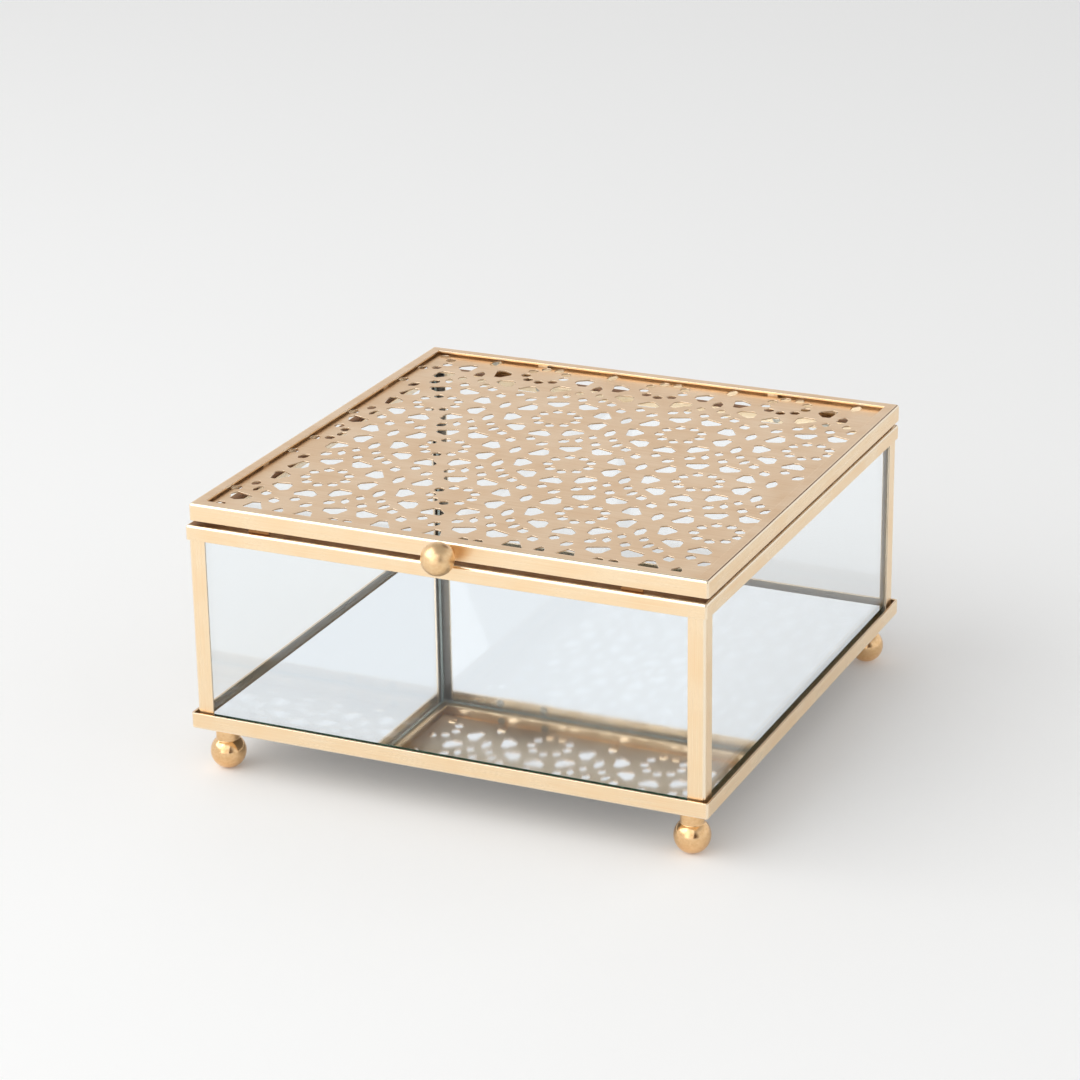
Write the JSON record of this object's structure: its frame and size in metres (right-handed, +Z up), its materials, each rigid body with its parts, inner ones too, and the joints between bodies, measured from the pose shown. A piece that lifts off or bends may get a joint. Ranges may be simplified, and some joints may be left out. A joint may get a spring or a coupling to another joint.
{
  "type": "vanity trinket box",
  "caption": "Square glass trinket box in folded brass angle, with ball feet, a mirror floor and a hinged lid of pierced sheet with a ball knob.",
  "frame": {"origin": "on the ground under the middle of the case (the bounding box's bottom centre, within 1 mm in depth)", "axes": "+X to the right along the front edge, +Y to the hinges at the back, +Z up"},
  "size_m": [0.15, 0.1645, 0.0793],
  "materials": {
    "brass_case": "fine brushed, satin lacquer",
    "brass_lid": "fine brushed, satin lacquer",
    "pierced_brass": "brushed sheet, satin",
    "brass_ball": "satin",
    "glass": "clear, polished",
    "mirror": "silvered",
    "felt": "felt",
    "floor_plate": "plain sheet",
    "foam": "foam tape",
    "steel": "plain"
  },
  "bodies": {
    "case": {"base_rail_front": "brass_case", "base_rail_right": "brass_case", "base_rail_back": "brass_case", "base_rail_left": "brass_case", "top_rail_front": "brass_case", "top_rail_right": "brass_case", "top_rail_back": "brass_case", "top_rail_left": "brass_case", "post_front_left": "brass_case", "post_front_right": "brass_case", "post_back_right": "brass_case", "post_back_left": "brass_case", "glass_front": "glass", "glass_right": "glass", "glass_back": "glass", "glass_left": "glass", "base_felt": "felt", "base_plate": "floor_plate", "mirror_tape": "foam", "mirror_floor": "mirror", "foot_front_left": "brass_ball", "foot_front_right": "brass_ball", "foot_back_right": "brass_ball", "foot_back_left": "brass_ball", "foot_screws": "steel", "case_leaf_left": "brass_case", "case_leaf_right": "brass_case", "hinge_pin_left": "steel", "hinge_pin_right": "steel", "case_rivets": "steel"},
    "lid": {"lid_rail_front": "brass_lid", "lid_rail_right": "brass_lid", "lid_rail_back": "brass_lid", "lid_rail_left": "brass_lid", "pierced_panel": "pierced_brass", "panel_solder": "brass_case", "lid_rests": "brass_case", "knob": "brass_ball", "knob_stud": "steel", "lid_leaf_left": "brass_lid", "lid_leaf_right": "brass_lid", "lid_rivets": "steel"}
  },
  "joints": [
    {"name": "lid_hinge", "type": "hinge", "parent": "case", "child": "lid", "pos_m": [0, 0.0765, 0.0721], "axis": [-1, 0, 0], "range_deg": [0, 100]}
  ]
}
